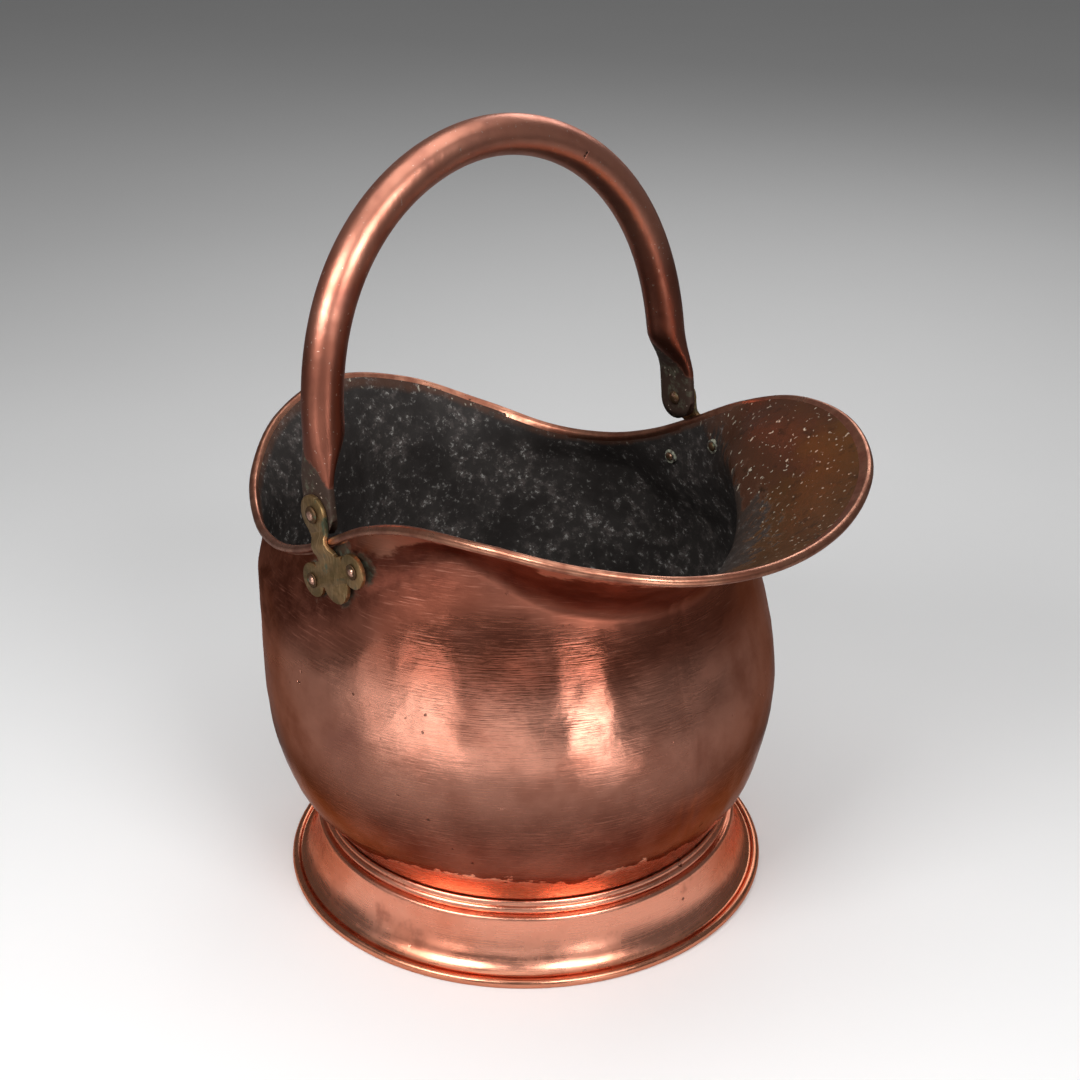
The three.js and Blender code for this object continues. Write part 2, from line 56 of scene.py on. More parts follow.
BOWL_SHEET = 1.0
BOWL_LEVELS = (
    # height, mean radius, shift of the section towards the lip, ovalness along X
    (44, 117.6, 0.0, 0.0),
    (50, 121.5, -0.2, 0.0),
    (58, 128.0, -1.0, 0.0),
    (68, 134.8, -2.4, 0.0),
    (85, 141.3, -3.8, 0.0),
    (110, 145.7, -4.3, 0.0),
    (140, 146.8, -5.5, 0.3),
    (170, 144.4, -10.8, 1.0),
    (200, 140.8, -17.2, 3.0),
    (225, 136.0, -22.2, 5.5),
    (250, 132.0, -26.0, 9.0),
)
SIDE_FLAT_REACH, SIDE_FLAT_BELOW, SIDE_FLAT_RISE, SIDE_FLAT_SOFTNESS = 127.0, 222.0, 0.008, 4.0
BOWL_BOTTOM_Z = 35.5
BOWL_BOTTOM_CORNER = ((60, BOWL_BOTTOM_Z), (108, BOWL_BOTTOM_Z), (113.5, 36.8), (116.6, 39.8))
RIM_RADIUS = (198.5, 197, 190.5, 175, 154.5, 137.5, 129.7, 131, 139, 152.5, 169.5, 183, 188.5)
RIM_HEIGHT = (265.5, 269, 277.5, 283, 278.5, 263, 243, 225, 213, 210, 220, 236, 244.5)
NECK_HEIGHT = (207, 218, 240, 204, 190, 190, 203)
NECK_REACH = (16, 15, 14, 6, 6, 8, 14)
LIP_LEAN = (55, 58, 55, 8, 10, 35, 52)
LIP_REACH = (32, 30, 20, 6, 6, 14, 18)
ROLL_BORE = 1.6
ROLL_TURN = 285  # degrees that the sheet turns round its wire

FOOT_SHEET = 1.2
FOOT_ROLL_RADIUS, FOOT_ROLL_Z, FOOT_ROLL_FROM, FOOT_ROLL_TO = 138.0, 2.3, 150, -160

TUBE_RADIUS = 11.0
TONGUE_HALF_WIDTH = 13.0
TONGUE_HALF_THICKNESS = 2.7
TONGUE_END_RADIUS = 12.6
TONGUE_TOP = 13.0
TUBE_ROUND_FROM = 44.0
TONGUE_REACH = 127.2
TONGUE_ROWS = (-9.5, -6, -3, 0, 3, 6, 9.5)  # heights of the sections over the pivot
PRESS_SHIFT = TUBE_RADIUS - TONGUE_HALF_THICKNESS
CROWN_HEIGHT = 174.2
LEG_HANDLE = (130, 128)
CROWN_HANDLE = 56
BAIL_LEAN = -6
TARNISH_SLANT = 0.8

PIVOT = Vector(frame["joints"][0]["pos_m"]) / MM
LUG_LEAN = 27
LUG_SEAT = 130.0
LUG_SHEET = 2.3
EYE_OUT = 1.35  # outward offset of the eye's middle from the seat
PLATE_TOP_V, PLATE_TOP_OUT = -24.5, 1.0
LUG_RIVET_ACROSS, LUG_RIVET_DROP = 21.0, -9.0
PLATE_LOBES = ((16.5, 234.5, 9.5), (-20.1, 215.9, 9.5), (0.0, 221.6, 11.5), (4.0, 240.0, 8.0))

# ---------------------------------------------------------------- curves


def around(values, azimuth):
    """Value at an azimuth, on a smooth curve through values at even steps from lip to back."""
    last = len(values) - 1

    def value_at(step):
        k = step % (2 * last)
        return values[2 * last - k if k > last else k]

    place = azimuth / math.pi * last
    i = math.floor(place)
    t = place - i
    a, b, c, d = (value_at(i + step) for step in (-1, 0, 1, 2))
    cubic = 3 * b - a - 3 * c + d
    square = 2 * a - 5 * b + 4 * c - d
    return b + 0.5 * t * (c - a + t * (square + t * cubic))


def over_heights(column, z):
    """Smooth value of one column of the bowl's levels at height z."""
    last = len(BOWL_LEVELS) - 1

    def slope(i):
        low, high = BOWL_LEVELS[max(i - 1, 0)], BOWL_LEVELS[min(i + 1, last)]
        return (high[column] - low[column]) / (high[0] - low[0])

    i = 0
    while i < last - 1 and z > BOWL_LEVELS[i + 1][0]:
        i += 1
    low, high = BOWL_LEVELS[i], BOWL_LEVELS[i + 1]
    span = high[0] - low[0]
    t = (z - low[0]) / span
    ease = t * t * (3 - 2 * t)
    value = low[column] * (1 - ease) + high[column] * ease
    return value + span * t * (1 - t) * (slope(i) * (1 - t) - slope(i + 1) * t)


def bezier(points, steps):
    """Points along a cubic curve."""
    a, b, c, d = (Vector(p) for p in points)
    line = []
    for i in range(steps + 1):
        t = i / steps
        s = 1 - t
        line.append(tuple(a * s**3 + b * (3 * s * s * t) + c * (3 * s * t * t) + d * t**3))
    return line


def arc(centre, radius, start, end, steps):
    """Points along a circle, between two angles in degrees."""
    turns = (math.radians(start + (end - start) * i / steps) for i in range(steps + 1))
    return [(centre[0] + radius * math.cos(a), centre[1] + radius * math.sin(a)) for a in turns]


def offset(line, distance):
    """The line moved sideways, to the left of its direction."""
    moved = []
    for i, (x, y) in enumerate(line):
        ax, ay = line[max(i - 1, 0)]
        bx, by = line[min(i + 1, len(line) - 1)]
        length = math.hypot(bx - ax, by - ay)
        moved.append((x - (by - ay) / length * distance, y + (bx - ax) / length * distance))
    return moved


def smooth_step(value, low, high):
    """0 below low, 1 above high, and eased between."""
    t = min(max((value - low) / (high - low), 0), 1)
    return t * t * (3 - 2 * t)


# ---------------------------------------------------------------- mesh making


def finished(name, bm, body, slot, *finishes):
    """Turns a bmesh in metres into a smooth-shaded piece that rides on a body."""
    mesh = bpy.data.meshes.new(name)
    for face in bm.faces:
        face.smooth = True
    bm.to_mesh(mesh)
    bm.free()
    for finish in finishes:
        mesh.materials.append(finish)
    piece = bpy.data.objects.new(name, mesh)
    bpy.context.scene.collection.objects.link(piece)
    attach(piece, body)
    return piece


def rolled_grid(columns, rows, place):
    """A grid rolled up so that its side edges meet, each vertex put in its place in millimetres."""
    bm = bmesh.new()
    bmesh.ops.create_grid(bm, x_segments=columns, y_segments=rows, size=0.5)
    for vertex in bm.verts:
        column = round((vertex.co.x + 0.5) * columns) % columns
        row = round((vertex.co.y + 0.5) * rows)
        vertex.co = Vector(place(column, row)) * MM
    bmesh.ops.remove_doubles(bm, verts=bm.verts, dist=0.01 * MM)
    bmesh.ops.recalc_face_normals(bm, faces=bm.faces)
    return bm


def sweep_round(section_at, shape=None):
    """A shell swept round the foot's axis from a section of [radius, height] at each azimuth."""
    sections = [section_at(2 * math.pi * k / COLUMNS) for k in range(COLUMNS)]

    def place(column, row):
        radius, height = sections[column][row]
        azimuth = 2 * math.pi * column / COLUMNS
        point = (FOOT_AXIS_X + radius * math.cos(azimuth), radius * math.sin(azimuth), height)
        return shape(point, azimuth, row) if shape else point

    return rolled_grid(COLUMNS, len(sections[0]) - 1, place)


# ---------------------------------------------------------------- bowl


def wall_radius(azimuth, z):
    """Middle of the bowl's wall."""
    radius = over_heights(1, z)
    radius += over_heights(2, z) * math.cos(azimuth) + over_heights(3, z) * math.cos(2 * azimuth)
    side = radius * abs(math.sin(azimuth))
    if side < 1:
        return radius
    limit = SIDE_FLAT_REACH + SIDE_FLAT_RISE * max(SIDE_FLAT_BELOW - z, 0) ** 2
    dressed = (side + limit - math.hypot(side - limit, SIDE_FLAT_SOFTNESS)) / 2
    return radius * dressed / side


def wall_line(azimuth):
    """Middle line of the wall from the bottom's corner to the start of the roll, and its lean."""
    base = BOWL_LEVELS[0][0]
    neck_z = around(NECK_HEIGHT, azimuth)
    lean = math.radians(around(LIP_LEAN, azimuth))
    roll_radius = ROLL_BORE + BOWL_SHEET / 2
    rim = (
        around(RIM_RADIUS, azimuth) - roll_radius * math.cos(lean),
        around(RIM_HEIGHT, azimuth) + roll_radius * math.sin(lean),
    )
    heights = [base + (neck_z - base) * i / 34 for i in range(34)]
    lower = [(wall_radius(azimuth, z), z) for z in heights]
    neck = (wall_radius(azimuth, neck_z), neck_z)
    slope = neck[0] - wall_radius(azimuth, neck_z - 1)
    neck_reach = around(NECK_REACH, azimuth)
    lip_reach = around(LIP_REACH, azimuth)
    before_neck = (neck[0] + slope * neck_reach, neck[1] + neck_reach)
    before_rim = (rim[0] - lip_reach * math.sin(lean), rim[1] - lip_reach * math.cos(lean))
    return lower + bezier((neck, before_neck, before_rim, rim), 22), lean


def bowl_section(azimuth):
    """Outside of the sheet from the axis up to the rim, round the roll, and down the inside."""
    line, lean = wall_line(azimuth)
    corner = bezier((BOWL_BOTTOM_CORNER[1], (113, 35.6), (116, 38), line[0]), 5)[:-1]
    middle = [(0, BOWL_BOTTOM_Z), BOWL_BOTTOM_CORNER[0], *corner, *line]
    half = BOWL_SHEET / 2
    outside, inside = offset(middle, -half), offset(middle, half)
    outside[0], inside[0] = (0, BOWL_BOTTOM_Z - half), (0, BOWL_BOTTOM_Z + half)
    centre = (around(RIM_RADIUS, azimuth), around(RIM_HEIGHT, azimuth))
    start = 180 - math.degrees(lean)
    inner_curl = arc(centre, ROLL_BORE, start, start - ROLL_TURN, 18)
    outer_curl = arc(centre, ROLL_BORE + BOWL_SHEET, start, start - ROLL_TURN, 18)
    return outside[:-1] + inner_curl + outer_curl[::-1] + inside[:-1][::-1]


def worked_surface(bm, depth, wide, fine):
    """Hand-worked unevenness: every skin of the sheet moves alike, so its thickness stays."""
    bm.normal_update()
    axis = Vector((FOOT_AXIS_X * MM, 0, 0))
    moves = []
    for vertex in bm.verts:
        point = vertex.co
        broad = noise.noise(point * wide) + 0.45 * noise.noise(point * wide * 2.3)
        small = noise.noise(point * fine) + 0.5 * noise.noise(point * fine * 2.1)
        out = (point - axis).to_2d().normalized().to_3d()
        facing = 1 if vertex.normal.dot(out) >= 0 else -1
        moves.append(vertex.normal * facing * (broad + 0.3 * small - 0.35) * depth(point) * MM)
    for vertex, move in zip(bm.verts, moves):
        vertex.co += move


def bowl_unevenness(point):
    """Depth of the hammering, in millimetres: fades at the rim and where the lugs sit."""
    azimuth = abs(math.atan2(point.y, point.x - FOOT_AXIS_X * MM))
    below_rim = around(RIM_HEIGHT, azimuth) - point.z / MM
    lug = Vector((0, math.copysign(0.127, point.y), 0.222))
    off_lug = smooth_step((point - lug).length, 0.028, 0.05)
    return 0.9 * smooth_step(below_rim, 4, 40) * off_lug * smooth_step(point.z / MM, 42, 60)


def make_bowl(outside, inside, rim):
    bm = sweep_round(bowl_section)
    worked_surface(bm, bowl_unevenness, 22, 75)
    below_rim = bm.verts.layers.float.new("below_rim")
    for vertex in bm.verts:
        azimuth = math.atan2(vertex.co.y, vertex.co.x - FOOT_AXIS_X * MM)
        vertex[below_rim] = around(RIM_HEIGHT, abs(azimuth)) - vertex.co.z / MM
    for face in bm.faces:
        centre = face.calc_center_median()
        azimuth = math.atan2(centre.y, centre.x - FOOT_AXIS_X * MM)
        radius = math.hypot(centre.y, centre.x - FOOT_AXIS_X * MM) / MM
        curl = math.hypot(
            radius - around(RIM_RADIUS, azimuth), centre.z / MM - around(RIM_HEIGHT, azimuth)
        )
        out = Vector((math.cos(azimuth), math.sin(azimuth), 0))
        looks_in = face.normal.dot(out) < 0 if radius > 100 else face.normal.z > 0
        face.material_index = 2 if curl < 3.6 else 1 if looks_in else 0
    bowl = finished("bowl_sheet", bm, "scuttle", "bowl_copper", outside, inside, rim)
    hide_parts("bowl")
    return bowl


# ---------------------------------------------------------------- foot ring


def foot_section(_azimuth):
    """Outline of the foot's sheet: collar, bead, ridge, flare and the rolled edge."""
    collar = [(118.6, 42.6), (118.6, 40.4), (118.6, 39.4)]
    bead = arc((118.6, 37.2), 1.9, 75, -70, 8)
    ridge = [(119.3, 34.9), (120.6, 34.5)] + arc((122.0, 32.7), 1.6, 95, 0, 6)
    flare = bezier(((123.6, 31.6), (123.7, 20), (126.5, 8.5), (134.2, 4.2)), 18)
    middle_roll = ROLL_BORE + FOOT_SHEET / 2
    centre = (FOOT_ROLL_RADIUS, FOOT_ROLL_Z)
    roll = arc(centre, middle_roll, FOOT_ROLL_FROM, FOOT_ROLL_TO, 18)
    middle = collar + bead + ridge + flare + roll
    outline = offset(middle, -FOOT_SHEET / 2) + offset(middle, FOOT_SHEET / 2)[::-1]
    outline = [(radius, max(height, 0)) for radius, height in outline]
    return outline + outline[:1]


def foot_unevenness(point):
    """Depth of the foot's unevenness, in millimetres: only on the flare."""
    return 0.22 * smooth_step(point.z / MM, 4, 9) * (1 - smooth_step(point.z / MM, 30, 34))


def make_foot(copper):
    bm = sweep_round(foot_section)
    worked_surface(bm, foot_unevenness, 24, 70)
    foot = finished("foot_ring", bm, "scuttle", "foot_copper", copper)
    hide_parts("foot")
    return foot


# ---------------------------------------------------------------- bail

BAIL_SIDES = 48
BAIL_FRAME = Matrix.Translation(PIVOT) @ Matrix.Rotation(math.radians(BAIL_LEAN), 4, "Y")


def bail_line():
    """Middle line of the bail as (reach, height) over the pivots, from tongue to tongue."""
    reach = TONGUE_REACH - PRESS_SHIFT
    leg = bezier(
        ((reach, TONGUE_TOP), LEG_HANDLE, (CROWN_HANDLE, CROWN_HEIGHT), (0, CROWN_HEIGHT)), 70
    )
    tongue = [(reach, height) for height in TONGUE_ROWS]
    half = tongue + leg
    return half + [(-x, height) for x, height in half[-2::-1]]


def bail_section(press):
    """A circle pressed against its outer side into a flat tongue with round edges."""
    ring = []
    for i in range(BAIL_SIDES):
        angle = (i + 0.5) / BAIL_SIDES * 2 * math.pi
        c, s = math.cos(angle), math.sin(angle)
        circle = Vector((TUBE_RADIUS * c, TUBE_RADIUS * s))
        flat = Vector(
            (
                math.copysign(TONGUE_HALF_WIDTH * abs(c) ** 0.75, c),
                math.copysign(TONGUE_HALF_THICKNESS * abs(s) ** 0.35, s) + PRESS_SHIFT,
            )
        )
        ring.append(circle.lerp(flat, press))
    return ring


def make_bail(copper):
    line = bail_line()
    rings = []
    for i, (reach, height) in enumerate(line):
        ax, ay = line[max(i - 1, 0)]
        bx, by = line[min(i + 1, len(line) - 1)]
        length = math.hypot(bx - ax, by - ay)
        outward = ((by - ay) / length, -(bx - ax) / length)
        press = 1 - smooth_step(height, TONGUE_TOP, TUBE_ROUND_FROM)
        ring = []
        for across, out in bail_section(press):
            z = height + outward[1] * out
            if height <= 0:
                # the rows below the pivot gather towards the round end
                end = -math.sqrt(max(TONGUE_END_RADIUS**2 - min(abs(across), 12.4) ** 2, 0))
                z = end * min(height / TONGUE_ROWS[0], 1)
            ring.append((across, reach + outward[0] * out, z))
        rings.append(ring)
    bm = rolled_grid(BAIL_SIDES, len(rings) - 1, lambda column, row: rings[row][column])
    open_edges = [edge for edge in bm.edges if edge.is_boundary]
    caps = bmesh.ops.edgeloop_fill(bm, edges=open_edges)["faces"]
    wall = bmesh.ops.inset_region(bm, faces=caps, thickness=2.0 * MM, depth=0)["faces"]
    bmesh.ops.translate(bm, verts=list({v for f in caps for v in f.verts}), vec=(0, 0, 3 * MM))
    bmesh.ops.recalc_face_normals(bm, faces=bm.faces)
    place = Matrix.Scale(MM, 4) @ BAIL_FRAME @ Matrix.Scale(1 / MM, 4)
    bmesh.ops.transform(bm, matrix=place, verts=bm.verts)
    bail = finished("bail_tube", bm, "bail", "bail_copper", copper)
    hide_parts("bail")
    return bail


# ---------------------------------------------------------------- finishes


class Finish:
    """A material under construction: a Principled shader and the nodes that feed it."""

    def __init__(self, name, metallic=1.0, roughness=0.4):
        self.material = bpy.data.materials.new(name)
        self.material.use_nodes = True
        self.tree = self.material.node_tree
        self.shader = self.tree.nodes["Principled BSDF"]
        self.shader.inputs["Metallic"].default_value = metallic
        self.shader.inputs["Roughness"].default_value = roughness
        self.place = self.add("ShaderNodeTexCoord").outputs["Object"]

    def add(self, kind, sockets=None, **settings):
        node = self.tree.nodes.new(kind)
        for key, value in settings.items():
            setattr(node, key, value)
        for socket, value in (sockets or {}).items():
            self.feed(node.inputs[socket], value)
        return node

    def feed(self, socket, value):
        if isinstance(value, bpy.types.NodeSocket):
            self.tree.links.new(value, socket)
        elif hasattr(value, "__len__") and len(value) == 3 and socket.type == "RGBA":
            socket.default_value = (*value, 1)
        else:
            socket.default_value = value

    def shade(self, socket, value):
        self.feed(self.shader.inputs[socket], value)

    def turned(self, stretch=(1, 1, 1), turn=(0, 0, 0)):
        angles = tuple(math.radians(a) for a in turn)
        sockets = {"Vector": self.place, "Rotation": angles, "Scale": stretch}
        return self.add("ShaderNodeMapping", sockets).outputs["Vector"]

    def mottle(self, scale, detail=3.0, rough=0.5, place=None):
        sockets = {
            "Vector": place or self.place,
            "Scale": scale,
            "Detail": detail,
            "Roughness": rough,
        }
        return self.add("ShaderNodeTexNoise", sockets).outputs["Fac"]

    def cells(self, scale, place):
        sockets = {"Vector": place, "Scale": scale}
        return self.add("ShaderNodeTexVoronoi", sockets).outputs["Distance"]

    def span(self, value, low, high, to_low=0.0, to_high=1.0):
        """Value eased from low..high to to_low..to_high, and held outside it."""
        sockets = {
            "Value": value,
            "From Min": low,
            "From Max": high,
            "To Min": to_low,
            "To Max": to_high,
        }
        node = self.add("ShaderNodeMapRange", sockets, interpolation_type="SMOOTHSTEP")
        return node.outputs["Result"]

    def work_out(self, operation, a, b=0):
        node = self.add("ShaderNodeMath", {0: a, 1: b}, operation=operation)
        return node.outputs[0]

    def plus(self, a, b):
        return self.work_out("ADD", a, b)

    def times(self, a, b):
        return self.work_out("MULTIPLY", a, b)

    def most(self, a, b):
        return self.work_out("MAXIMUM", a, b)

    def blend(self, amount, a, b):
        node = self.add("ShaderNodeMix", {0: amount, 6: a, 7: b}, data_type="RGBA")
        return node.outputs[2]

    def axis(self, name):
        return self.add("ShaderNodeSeparateXYZ", {0: self.place}).outputs[name]

    def attribute(self, name):
        return self.add("ShaderNodeAttribute", attribute_name=name).outputs["Fac"]

    def relief(self, height, distance, strength=1.0, under=None):
        sockets = {"Height": height, "Distance": distance, "Strength": strength}
        if under:
            sockets["Normal"] = under
        return self.add("ShaderNodeBump", sockets).outputs["Normal"]


# colours, as linear red, green and blue
COPPER_ROSE = (0.90, 0.40, 0.28)
COPPER_WARM = (0.62, 0.235, 0.155)
COPPER_BROWN = (0.40, 0.12, 0.072)
COPPER_PLUM = (0.33, 0.105, 0.085)
COPPER_BARE = (0.92, 0.45, 0.30)
COPPER_GLANCING = (0.82, 0.52, 0.42)  # tint of the metal at glancing angles
# dark patina and painted shade of the lower belly
UNDERSIDE_PATINA_AND_SHADE = (0.12, 0.025, 0.015)
THROAT_SHADE = (0.14, 0.040, 0.026)
RIM_BROWN, RIM_RUBBED = (0.36, 0.135, 0.085), (0.68, 0.31, 0.20)
FOOT_PINK, FOOT_PALE, FOOT_EDGE = (0.80, 0.28, 0.17), (0.93, 0.40, 0.27), (0.55, 0.23, 0.13)
LEG_SHADE_BROWN = (0.30, 0.10, 0.065)
NICK_AND_GLINT_PALE = (0.95, 0.75, 0.62)
RIVET_CROWN, RIVET_DISH = (0.88, 0.50, 0.37), (0.13, 0.075, 0.04)
PIT_DARK = (0.03, 0.02, 0.018)
SOOT, SOOT_CLOUD, SOOT_GREY = (0.0165, 0.0135, 0.0125), (0.030, 0.026, 0.024), (0.088, 0.073, 0.068)
SOOT_BROWN = (0.040, 0.024, 0.017)
ASH = (0.33, 0.32, 0.30)
LIP_BROWN, LIP_GOLDEN, LIP_MAUVE = (0.15, 0.062, 0.022), (0.26, 0.115, 0.042), (0.15, 0.060, 0.038)
LIP_SMUT, LIP_GLINT = (0.05, 0.032, 0.02), (0.95, 0.84, 0.66)
TONGUE_GRIME, TONGUE_GREEN = (0.032, 0.023, 0.016), (0.10, 0.11, 0.075)
BRASS_DULL, BRASS_OLIVE, BRASS_WORN = (0.20, 0.13, 0.055), (0.41, 0.245, 0.11), (0.98, 0.72, 0.42)
VERDIGRIS = (0.11, 0.18, 0.12)
CRUST_DARK, CRUST_GREEN = (0.030, 0.028, 0.018), (0.075, 0.115, 0.08)
ROVE_DARK, ROVE_CRUST = (0.07, 0.055, 0.045), (0.34, 0.35, 0.27)


def polishing_lines(finish):
    """Fine lines left by rubbing: mostly level, some slanting, as three stretched noises."""
    level = finish.mottle(1.0, 2.0, 0.6, finish.turned((62, 62, 1700)))
    rising = finish.mottle(1.0, 2.0, 0.6, finish.turned((70, 70, 1200), (24, 15, 0)))
    falling = finish.mottle(1.0, 2.0, 0.6, finish.turned((66, 66, 1400), (-20, -26, 0)))
    return finish.plus(finish.plus(level, rising), falling)


def pitting(finish, scale, stretch=(1, 1, 1)):
    """1 in scattered small pits, 0 elsewhere."""
    where = finish.turned(stretch)
    spots = finish.plus(finish.cells(scale, where), finish.mottle(scale * 3, 2, 0.6))
    chosen = finish.span(finish.mottle(scale * 0.35, 1.0, 0.5), 0.62, 0.67, 0, 0.8)
    return finish.times(finish.span(spots, 0.60, 0.52), chosen)


def near_lugs(finish):
    """Distance beyond the edge of the lugs' plates, in metres, on either side of the bowl."""
    apart = finish.add("ShaderNodeSeparateXYZ", {0: finish.place})
    side = finish.work_out("ABSOLUTE", apart.outputs["Y"])
    folded = finish.add(
        "ShaderNodeCombineXYZ", {"X": apart.outputs["X"], "Y": side, "Z": apart.outputs["Z"]}
    ).outputs[0]
    nearest = 1.0
    for x, z, radius in PLATE_LOBES:
        middle = (x * MM, LUG_SEAT * MM, z * MM)
        away = finish.add("ShaderNodeVectorMath", {0: folded, 1: middle}, operation="DISTANCE")
        beyond = finish.work_out("SUBTRACT", away.outputs["Value"], radius * MM)
        nearest = finish.work_out("MINIMUM", beyond, nearest)
    return nearest


def outside_copper():
    # real wear, with painted shade in the throat and on the lower belly and a painted highlight
    # round the belly
    finish = Finish("worn_and_shaded_copper")
    finish.shade("Specular Tint", COPPER_GLANCING)
    height = finish.axis("Z")
    broad = finish.mottle(8, 4, 0.55)
    patches = finish.mottle(34, 5, 0.6)
    colour = finish.blend(finish.span(broad, 0.36, 0.64), COPPER_BROWN, COPPER_WARM)
    # a rose band round the widest belly: partly rubbed wear, partly a painted highlight where the
    # lamps reflect
    rubbed_and_painted_highlight = finish.times(finish.span(height, 0.085, 0.125), finish.span(height, 0.195, 0.165))
    amount = finish.times(rubbed_and_painted_highlight, finish.span(patches, 0.30, 0.62, 0.35, 0.85))
    colour = finish.blend(amount, colour, COPPER_ROSE)
    plum = finish.span(finish.mottle(11, 3, 0.5), 0.60, 0.74, 0, 0.5)
    colour = finish.blend(plum, colour, COPPER_PLUM)
    # the lower belly, where it turns under, is painted darker: partly dark patina, partly painted
    # shade
    uneven_patina_and_shade = finish.span(patches, 0.25, 0.7, 1, 0.75)
    under = finish.times(finish.span(height, 0.132, 0.082), uneven_patina_and_shade)
    colour = finish.blend(finish.times(under, 0.95), colour, UNDERSIDE_PATINA_AND_SHADE)
    # rubbed to bare metal, with a ragged edge, above the collar
    ragged = finish.times(finish.mottle(24, 6, 0.68), 0.050)
    low = finish.plus(height, ragged)
    colour = finish.blend(finish.span(low, 0.0885, 0.0878, 0, 0.9), colour, COPPER_BARE)
    # painted shade: the throat under the rim's overhang is painted darker, but for bare patches
    # under the front of the rim
    rim_gap = finish.attribute("below_rim")
    uneven_throat_shade = finish.span(finish.mottle(46, 5, 0.7), 0.38, 0.62, 0.6, 0.95)
    painted_throat_shade = finish.times(finish.span(rim_gap, 66, 36), uneven_throat_shade)
    colour = finish.blend(painted_throat_shade, colour, THROAT_SHADE)
    below = finish.plus(rim_gap, finish.times(finish.mottle(30, 5, 0.7), 46))
    front = finish.span(finish.axis("X"), 0.01, 0.06)
    bare = finish.times(finish.span(below, 44, 38, 0, 0.8), front)
    colour = finish.blend(bare, colour, COPPER_BARE)
    lines = polishing_lines(finish)
    above_dark_underside = finish.span(height, 0.06, 0.12, 0.08, 0.30)
    shine = finish.times(finish.span(lines, 1.62, 1.95), above_dark_underside)
    colour = finish.blend(shine, colour, COPPER_ROSE)
    pits = pitting(finish, 100, (1, 1, 1.9))
    colour = finish.blend(pits, colour, PIT_DARK)
    # a crust of verdigris round the plates of the lugs
    beyond = finish.plus(near_lugs(finish), finish.times(finish.mottle(150, 5, 0.7), 0.014))
    crust = finish.span(beyond, 0.0105, 0.0060, 0, 0.9)
    green = finish.span(finish.mottle(210, 3, 0.6), 0.48, 0.72)
    crust_colour = finish.blend(green, CRUST_DARK, CRUST_GREEN)
    finish.shade("Base Color", finish.blend(crust, colour, crust_colour))
    finish.shade("Metallic", finish.span(crust, 0, 0.9, 1, 0.15))
    by_patch = finish.span(broad, 0.3, 0.7, 0.17, 0.25)
    rough = finish.plus(by_patch, finish.span(lines, 1.3, 1.8, 0, 0.06))
    throat = finish.span(rim_gap, 75, 45, 0, 0.5)
    dull = finish.times(finish.most(finish.most(pits, crust), throat), 0.4)
    finish.shade("Roughness", finish.plus(rough, dull))
    hammered = finish.relief(finish.mottle(50, 3, 0.5), 0.0009, 0.6)
    lined = finish.relief(lines, 0.00006, 0.8, hammered)
    finish.shade("Normal", finish.relief(pits, -0.0005, 1.0, lined))
    return finish.material


def rim_copper():
    finish = Finish("rim_copper")
    patches = finish.mottle(60, 4, 0.6)
    colour = finish.blend(finish.span(patches, 0.35, 0.65), RIM_BROWN, RIM_RUBBED)
    pits = pitting(finish, 160)
    finish.shade("Base Color", finish.blend(pits, colour, PIT_DARK))
    finish.shade("Roughness", finish.span(patches, 0.3, 0.7, 0.40, 0.26))
    uneven = finish.relief(finish.mottle(110, 3, 0.55), 0.0006, 0.5)
    finish.shade("Normal", finish.relief(pits, -0.0005, 1.0, uneven))
    return finish.material


def foot_copper():
    finish = Finish("foot_copper")
    finish.shade("Specular Tint", COPPER_GLANCING)
    broad = finish.mottle(14, 4, 0.6)
    patches = finish.mottle(45, 4, 0.6)
    colour = finish.blend(finish.span(broad, 0.35, 0.65), FOOT_PINK, FOOT_PALE)
    colour = finish.blend(finish.span(patches, 0.57, 0.75, 0, 0.6), colour, COPPER_BROWN)
    at_roll = finish.span(finish.axis("Z"), 0.0075, 0.0050, 0, 0.55)
    colour = finish.blend(at_roll, colour, FOOT_EDGE)
    lines = finish.mottle(1.0, 2.0, 0.6, finish.turned((20, 20, 1600)))
    pits = pitting(finish, 120)
    finish.shade("Base Color", finish.blend(pits, colour, PIT_DARK))
    rough = finish.span(patches, 0.3, 0.7, 0.20, 0.32)
    finish.shade("Roughness", finish.plus(rough, finish.span(lines, 0.45, 0.7, 0, 0.08)))
    uneven = finish.relief(finish.mottle(50, 3, 0.5), 0.0005, 0.5)
    lined = finish.relief(lines, 0.00005, 0.8, uneven)
    finish.shade("Normal", finish.relief(pits, -0.0005, 1.0, lined))
    return finish.material


